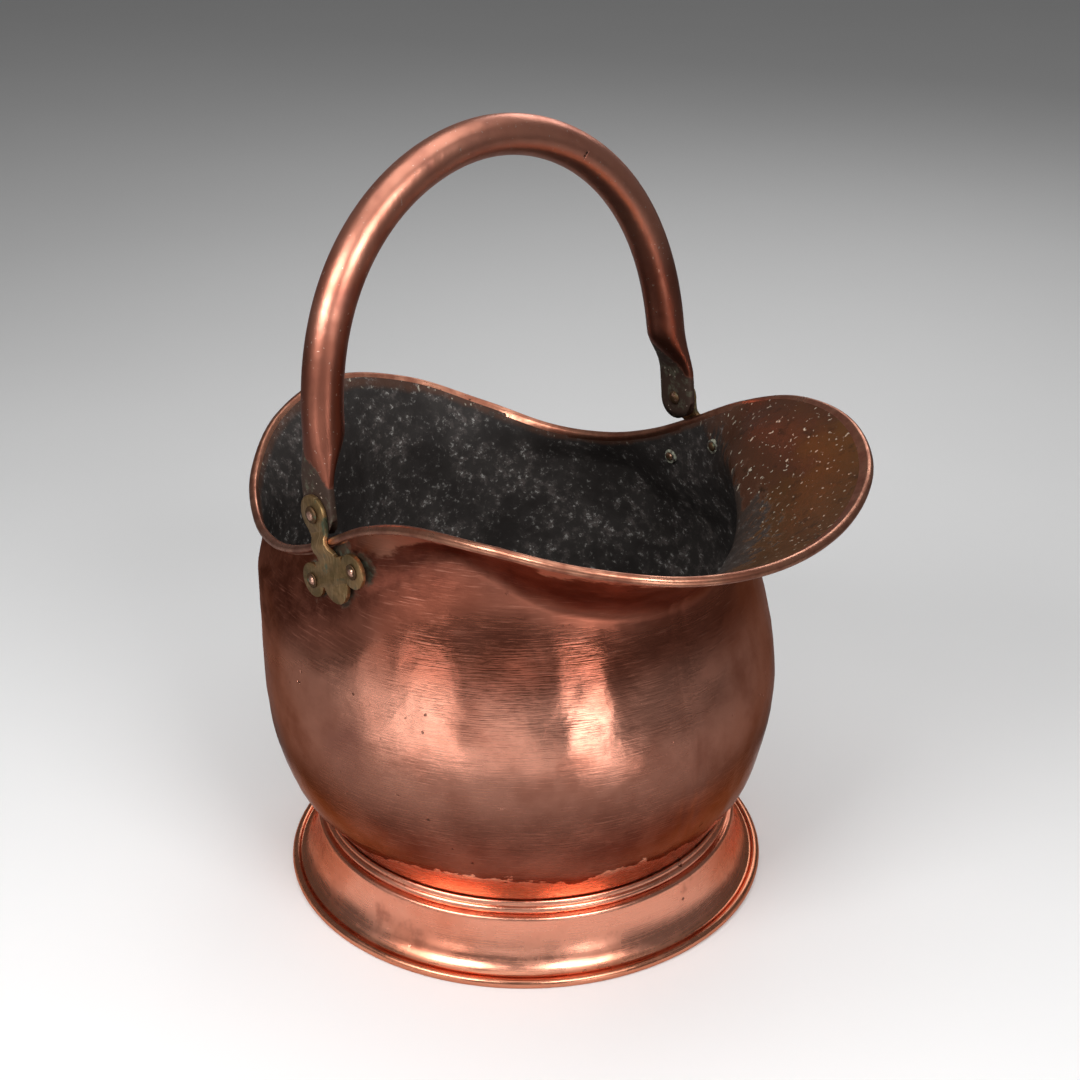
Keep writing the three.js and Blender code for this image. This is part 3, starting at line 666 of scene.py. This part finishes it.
def inside_soot():
    finish = Finish("sooted_inside")
    finish.shade("Specular IOR Level", 0.2)
    grain = finish.mottle(420, 4, 0.7)
    specks = finish.mottle(150, 4, 0.7)
    cloud = finish.mottle(30, 4, 0.6)
    black = finish.blend(finish.span(cloud, 0.35, 0.65), SOOT, SOOT_CLOUD)
    in_clouds = finish.span(cloud, 0.42, 0.60, 0.1, 0.9)
    greyed = finish.times(finish.span(specks, 0.44, 0.70), in_clouds)
    black = finish.blend(greyed, black, SOOT_GREY)
    flecks = finish.times(finish.span(grain, 0.53, 0.67), finish.span(specks, 0.48, 0.62))
    flecks = finish.times(flecks, finish.span(cloud, 0.38, 0.58, 0.35, 1))
    black = finish.blend(flecks, black, ASH)
    # above the level that coal reaches, the lip is brown, with soot streaming into it
    forward = finish.axis("X")
    ragged = finish.mottle(1.0, 5, 0.7, finish.turned((110, 110, 30)))
    edge = finish.plus(finish.axis("Z"), finish.span(ragged, 0.25, 0.75, -0.012, 0.012))
    lip = finish.times(finish.span(edge, 0.238, 0.247), finish.span(forward, -0.01, 0.05))
    below = finish.plus(finish.attribute("below_rim"), finish.times(cloud, 10))
    band = finish.span(below, 11, 7, 0, 0.35)
    clean = finish.most(lip, band)
    brown = finish.blend(finish.mottle(26, 4, 0.6), LIP_BROWN, LIP_GOLDEN)
    near = finish.plus(forward, finish.span(cloud, 0.3, 0.7, -0.02, 0.02))
    brown = finish.blend(finish.span(near, 0.135, 0.09, 0, 0.8), brown, LIP_MAUVE)
    brown = finish.blend(finish.span(finish.mottle(75, 4, 0.65), 0.54, 0.75), brown, LIP_SMUT)
    # painted glints: short bright dashes on the brown lip
    glint_dashes = finish.mottle(1.0, 2, 0.6, finish.turned((360, 360, 95), (0, 40, 0)))
    brown = finish.blend(finish.span(glint_dashes, 0.65, 0.68), brown, LIP_GLINT)
    browned = finish.times(finish.span(edge, 0.205, 0.238, 0, 0.7), finish.span(forward, 0, 0.06))
    black = finish.blend(browned, black, SOOT_BROWN)
    finish.shade("Base Color", finish.blend(clean, black, brown))
    finish.shade("Metallic", finish.times(clean, 0.8))
    finish.shade("Roughness", finish.span(clean, 0, 1, 0.66, 0.36))
    uneven = finish.relief(finish.mottle(70, 3, 0.5), 0.0010, 0.6)
    finish.shade("Normal", finish.relief(specks, 0.0006, 0.8, uneven))
    return finish.material


def bail_copper():
    finish = Finish("bail_copper")
    broad = finish.mottle(14, 4, 0.6)
    colour = finish.blend(finish.span(broad, 0.35, 0.65), COPPER_BROWN, COPPER_WARM)
    height = finish.axis("Z")
    plum = finish.span(finish.mottle(48, 4, 0.6), 0.5, 0.7, 0, 0.5)
    colour = finish.blend(plum, colour, COPPER_PLUM)
    # painted shade: the legs darker brown towards the bottom; above, rose patches, partly rubbed by
    # handling, partly a painted highlight
    colour = finish.blend(finish.span(height, 0.375, 0.335, 0, 0.7), colour, LEG_SHADE_BROWN)
    rubbed_and_painted_highlight = finish.times(finish.span(height, 0.33, 0.36), finish.span(broad, 0.40, 0.60, 0.15, 0.6))
    colour = finish.blend(rubbed_and_painted_highlight, colour, COPPER_ROSE)
    # the pressed tongues were never polished; the tarnish ends on a slant, higher at the back
    slant = finish.plus(height, finish.times(finish.axis("X"), TARNISH_SLANT))
    low = finish.plus(slant, finish.times(finish.mottle(60, 5, 0.65), 0.024))
    from_pivot = finish.work_out("SUBTRACT", low, (PIVOT.z + TARNISH_SLANT * PIVOT.x) * MM)
    tarnish = finish.span(from_pivot, 0.041, 0.037, 0, 0.93)
    grime = finish.span(finish.mottle(190, 4, 0.65), 0.50, 0.72)
    colour = finish.blend(tarnish, colour, finish.blend(grime, TONGUE_GRIME, TONGUE_GREEN))
    # pale specks: partly nicks, partly painted glints on them
    nicks_and_glints = finish.span(finish.mottle(520, 2, 0.5), 0.70, 0.73, 0, 0.7)
    colour = finish.blend(nicks_and_glints, colour, NICK_AND_GLINT_PALE)
    pits = pitting(finish, 130)
    finish.shade("Base Color", finish.blend(pits, colour, PIT_DARK))
    finish.shade("Metallic", finish.span(tarnish, 0, 1, 1, 0.4))
    rough = finish.span(broad, 0.3, 0.7, 0.44, 0.32)
    finish.shade("Roughness", finish.plus(rough, finish.times(tarnish, 0.25)))
    uneven = finish.relief(finish.mottle(45, 3, 0.5), 0.0009, 0.7)
    scratches = finish.mottle(1.0, 2, 0.6, finish.turned((420, 420, 60), (30, 0, 0)))
    scratched = finish.relief(scratches, 0.0001, 0.7, uneven)
    finish.shade("Normal", finish.relief(pits, -0.0006, 1.0, scratched))
    return finish.material


def aged_brass():
    finish = Finish("aged_brass", metallic=0.9)
    broad = finish.mottle(110, 4, 0.6)
    colour = finish.blend(finish.span(broad, 0.35, 0.65), BRASS_DULL, BRASS_OLIVE)
    scratches = finish.mottle(1.0, 2, 0.6, finish.turned((900, 60, 60), (0, 30, 0)))
    colour = finish.blend(finish.span(scratches, 0.56, 0.70, 0, 0.35), colour, BRASS_WORN)
    green = finish.span(finish.mottle(90, 4, 0.65), 0.57, 0.68, 0, 0.75)
    finish.shade("Base Color", finish.blend(green, colour, VERDIGRIS))
    finish.shade("Roughness", finish.span(broad, 0.3, 0.7, 0.50, 0.36))
    finish.shade("Normal", finish.relief(finish.mottle(300, 3, 0.6), 0.0002, 0.5))
    return finish.material


def worn_and_highlit_edge():
    """Brass rubbed bright along the edges of the lugs: partly wear, partly a painted highlight on
    the edges.
    """
    finish = Finish("worn_brass_edge_and_highlight")
    rubbed_and_painted_highlight = finish.span(finish.mottle(140, 4, 0.65), 0.38, 0.58)
    finish.shade("Base Color", finish.blend(rubbed_and_painted_highlight, BRASS_OLIVE, BRASS_WORN))
    finish.shade("Roughness", finish.span(rubbed_and_painted_highlight, 0, 1, 0.5, 0.38))
    return finish.material


def rivet_copper():
    """Copper rivet heads: dark and green in the dishes, bright on the crowns."""
    finish = Finish("rivet_copper")
    uneven = finish.span(finish.mottle(260, 4, 0.65), 0.3, 0.7, -0.25, 0.25)
    crown = finish.plus(finish.attribute("crown"), uneven)
    green = finish.span(finish.mottle(200, 3, 0.6), 0.55, 0.75)
    dull = finish.blend(green, RIVET_DISH, VERDIGRIS)
    finish.shade("Base Color", finish.blend(finish.span(crown, 0.10, 0.32), dull, RIVET_CROWN))
    finish.shade("Roughness", finish.span(crown, 0.10, 0.32, 0.6, 0.30))
    finish.shade("Normal", finish.relief(finish.mottle(420, 3, 0.6), 0.0002, 0.6))
    return finish.material


def crusted_rove():
    finish = Finish("crusted_rove", metallic=0.3)
    crust = finish.span(finish.mottle(240, 4, 0.65), 0.42, 0.60)
    finish.shade("Base Color", finish.blend(crust, ROVE_DARK, ROVE_CRUST))
    finish.shade("Roughness", finish.span(crust, 0, 1, 0.5, 0.8))
    finish.shade("Normal", finish.relief(crust, 0.0003, 0.8))
    return finish.material


# ---------------------------------------------------------------- lugs and rivets


def dressed_copy(name, node, slot, finish, edge, edge_round):
    """The frame's own solid with its facets merged and its edges rounded and given the edge finish.
    """
    bm = bmesh.new()
    bm.from_mesh(frame["nodes"][node].data)
    bmesh.ops.remove_doubles(bm, verts=bm.verts, dist=0.01 * MM)
    bmesh.ops.dissolve_limit(
        bm, angle_limit=math.radians(2), verts=bm.verts, edges=bm.edges, delimit=set()
    )
    sharp = [e for e in bm.edges if e.is_manifold and e.calc_face_angle(0) > math.radians(50)]
    rounded = bmesh.ops.bevel(
        bm,
        geom=sharp,
        offset=edge_round * MM,
        offset_type="OFFSET",
        affect="EDGES",
        segments=2,
        profile=0.5,
        material=-1,
        clamp_overlap=True,
    )
    for face in rounded["faces"]:
        face.material_index = 1
    piece = finished(name, bm, "scuttle", slot, finish, edge)
    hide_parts(node)
    return piece


def rivet_piece(name, node, place, profile, crown, finish):
    """A rivet turned about its axis; its crown's radius is kept for the finish."""
    bm = bmesh.new()
    line = [bm.verts.new((radius * MM, 0, z * MM)) for radius, z in profile]
    edges = [bm.edges.new(pair) for pair in zip(line, line[1:])]
    bmesh.ops.spin(
        bm,
        geom=line + edges,
        cent=(0, 0, 0),
        axis=(0, 0, 1),
        angle=2 * math.pi,
        steps=36,
        use_merge=True,
    )
    bmesh.ops.remove_doubles(bm, verts=bm.verts, dist=0.01 * MM)
    bmesh.ops.recalc_face_normals(bm, faces=bm.faces)
    worn = bm.verts.layers.float.new("crown")
    top = profile[-1][1]
    for vertex in bm.verts:
        radius = math.hypot(vertex.co.x, vertex.co.y) / MM
        level = top - vertex.co.z / MM
        vertex[worn] = max(1 - radius / crown, 0.6 - level) if level < 2 else 0
    in_metres = Matrix.Scale(MM, 4) @ place @ Matrix.Scale(1 / MM, 4)
    bmesh.ops.transform(bm, matrix=in_metres, verts=bm.verts)
    if place.determinant() < 0:
        bmesh.ops.reverse_faces(bm, faces=bm.faces)
    piece = finished(name, bm, "scuttle", "rivet_copper", finish)
    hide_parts(node)
    return piece


def lug_place(side):
    """From the frame of a lug (across, along, outwards) to the scuttle's, in millimetres."""
    lean = math.radians(LUG_LEAN)
    return Matrix(
        (
            (math.cos(lean), -math.sin(lean), 0, PIVOT.x),
            (0, 0, side, side * LUG_SEAT),
            (math.sin(lean), math.cos(lean), 0, PIVOT.z),
            (0, 0, 0, 1),
        )
    )


def inner_end(node):
    """How far a rivet reaches inwards from the seat of its lug, as a negative height."""
    reach = min(abs(vertex.co.y) for vertex in frame["nodes"][node].data.vertices)
    return reach / MM - LUG_SEAT


def make_rivets(finish):
    for side_name, side in (("right", -1), ("left", 1)):
        place = lug_place(side)
        node = f"pivot_rivet_{side_name}"
        eye = EYE_OUT + LUG_SHEET / 2 + 0.3
        end = inner_end(node)
        head = [(4.75, eye), (4.7, eye + 0.7), (4.1, eye + 1.25), (3.2, eye + 1.35)]
        crown = [(2.7, eye + 1.45), (2.0, eye + 1.9), (1.1, eye + 2.12), (0, eye + 2.2)]
        foot = [(0, end), (1.6, end + 0.15), (3.2, end + 0.7), (4.1, end + 1.6), (4.15, end + 1.9)]
        shank = [(3.0, end + 1.9), (3.0, eye)]
        rivet_piece(f"pivot_{side_name}", node, place, foot + shank + head + crown, 3.2, finish)
        for where, across in (("back", -LUG_RIVET_ACROSS), ("front", LUG_RIVET_ACROSS)):
            node = f"rivet_{where}_{side_name}"
            seat = Matrix.Translation((across, PLATE_TOP_V + LUG_RIVET_DROP, PLATE_TOP_OUT))
            end = inner_end(node) - PLATE_TOP_OUT
            face = LUG_SHEET / 2 + 0.3
            burr = [(0, end), (1.2, end + 0.1), (2.3, end + 0.5), (2.85, end + 1.1)]
            shank = [(1.9, end + 1.1), (1.9, face)]
            ring = [(4.25, face), (4.2, face + 0.55), (3.8, face + 0.8), (3.3, face + 0.7)]
            dish = [(2.7, face + 0.35), (2.2, face + 0.45)]
            crown = [(1.9, face + 0.95), (1.2, face + 1.35), (0, face + 1.5)]
            profile = burr + shank + ring + dish + crown
            rivet_piece(f"lug_rivet_{where}_{side_name}", node, place @ seat, profile, 2.6, finish)


# ---------------------------------------------------------------- making the pieces

worn = outside_copper()
sooted = inside_soot()
rim = rim_copper()
brass = aged_brass()
edge = worn_and_highlit_edge()
crust = crusted_rove()
make_bowl(worn, sooted, rim)
make_foot(foot_copper())
make_bail(bail_copper())

for side in ("right", "left"):
    dressed_copy(f"hinge_lug_{side}", f"lug_{side}", "lug_brass", brass, edge, 0.45)
    for where in ("back", "front"):
        node = f"rove_{where}_{side}"
        dressed_copy(f"burr_{where}_{side}", node, "sooted_copper", crust, crust, 0.3)
make_rivets(rivet_copper())

for node in frame["nodes"].values():
    if not node.hide_render:
        node.data.materials.clear()
        node.data.materials.append(rim)

# ---------------------------------------------------------------- floor, lights and camera

CAMERA_AT = Vector((0.7772, -0.6375, 0.6914))
CAMERA_TO = Vector((0.0004, 0.0065, 0.2041))
CAMERA_LENS = 66.27
PHOTO_SENSOR = 36.0

# most were placed by working back from where the highlights lie; strips stand low, cards lie flat
LIGHTS = (
    # name, azimuth, distance, height, aimed at, width, depth, brightness
    ("left_softbox", -80, 0.95, 0.86, (0.05, -0.30, 0), 0.60, 0.40, 11.0),
    ("right_softbox", -12, 0.95, 0.86, (0.30, -0.06, 0), 0.50, 0.40, 10.0),
    ("rear_softbox", 120, 1.3, 1.05, (0, 0, 0), 0.80, 0.50, 2.5),
    ("left_strip", -75, 1.15, 0.095, (0, 0, 0.095), 0.38, 0.17, 2.5),
    ("right_strip", -12, 1.15, 0.095, (0, 0, 0.095), 0.30, 0.17, 4.4),
    ("front_strip", -45, 1.15, 0.10, (0, 0, 0.10), 0.60, 0.18, 0.85),
    ("left_wing", -102, 1.10, 0.11, (0, 0, 0.11), 0.36, 0.20, 0.7),
    ("left_card", -80, 0.74, 0.006, (0.128, -0.729, 9), 0.34, 0.50, 1.3),
    ("right_card", -12, 0.74, 0.006, (0.724, -0.154, 9), 0.26, 0.50, 1.3),
    ("front_card", -45, 0.80, 0.006, (0.566, -0.566, 9), 0.50, 0.50, 0.55),
    ("overhead", 0, 0.0, 1.7, (0, 0, 0), 1.4, 1.4, 1.3),
)


def make_camera():
    data = bpy.data.cameras.new("photo_camera")
    data.lens, data.sensor_width, data.sensor_fit = CAMERA_LENS, PHOTO_SENSOR, "HORIZONTAL"
    camera = bpy.data.objects.new("photo_camera", data)
    camera.location = CAMERA_AT
    camera.rotation_euler = (CAMERA_TO - CAMERA_AT).to_track_quat("-Z", "Y").to_euler()
    bpy.context.scene.collection.objects.link(camera)
    bpy.context.scene.camera = camera


def make_floor():
    bm = bmesh.new()
    bmesh.ops.create_circle(bm, cap_ends=True, segments=96, radius=7.0)
    mesh = bpy.data.meshes.new("floor")
    bm.to_mesh(mesh)
    bm.free()
    finish = Finish("pale_floor", metallic=0.0, roughness=0.7)
    tone = finish.mottle(3, 3, 0.5)
    pale = finish.blend(tone, (0.84, 0.84, 0.84), (0.88, 0.88, 0.88))
    # The camera sees a pale floor, but reflections see a darker one, pale only beside the foot.
    # A floor that is pale to both washes out the shading of the belly.
    seen = finish.add("ShaderNodeLightPath").outputs["Is Camera Ray"]
    away = finish.add("ShaderNodeVectorMath", {0: finish.place}, operation="LENGTH").outputs["Value"]
    mirrored = finish.blend(finish.span(away, 0.180, 0.225), (0.78, 0.78, 0.78), (0.24, 0.24, 0.24))
    finish.shade("Base Color", finish.blend(seen, mirrored, pale))
    # painted pool of light: the floor glows round the scuttle for the camera only, fading out by 1.4
    # m
    painted_floor_glow = finish.times(finish.span(away, 0.35, 1.4, 0.06, 0.0), seen)
    finish.shade("Emission Color", (1, 1, 1))
    finish.shade("Emission Strength", painted_floor_glow)
    mesh.materials.append(finish.material)
    floor = bpy.data.objects.new("floor", mesh)
    bpy.context.scene.collection.objects.link(floor)


def soft_light(name, azimuth, distance, height, aim, width, depth, brightness):
    """A rectangular soft box, placed round the scuttle; brightness 1 looks white in the picture."""
    data = bpy.data.lights.new(name, "AREA")
    data.shape, data.size, data.size_y = "RECTANGLE", width, depth
    data.energy = brightness * math.pi * width * depth
    light = bpy.data.objects.new(name, data)
    turn = math.radians(azimuth)
    at = Vector((distance * math.cos(turn), distance * math.sin(turn), height))
    light.location = at
    light.rotation_euler = (Vector(aim) - at).to_track_quat("-Z", "Y").to_euler()
    light.visible_camera = False
    bpy.context.scene.collection.objects.link(light)


def make_world(level):
    world = bpy.data.worlds.new("studio")
    world.use_nodes = True
    background = world.node_tree.nodes["Background"]
    background.inputs["Color"].default_value = (level, level, level, 1)
    bpy.context.scene.world = world


make_camera()
make_floor()
make_world(0.12)
bpy.context.scene.view_settings.view_transform = "Standard"
for light in LIGHTS:
    soft_light(*light)
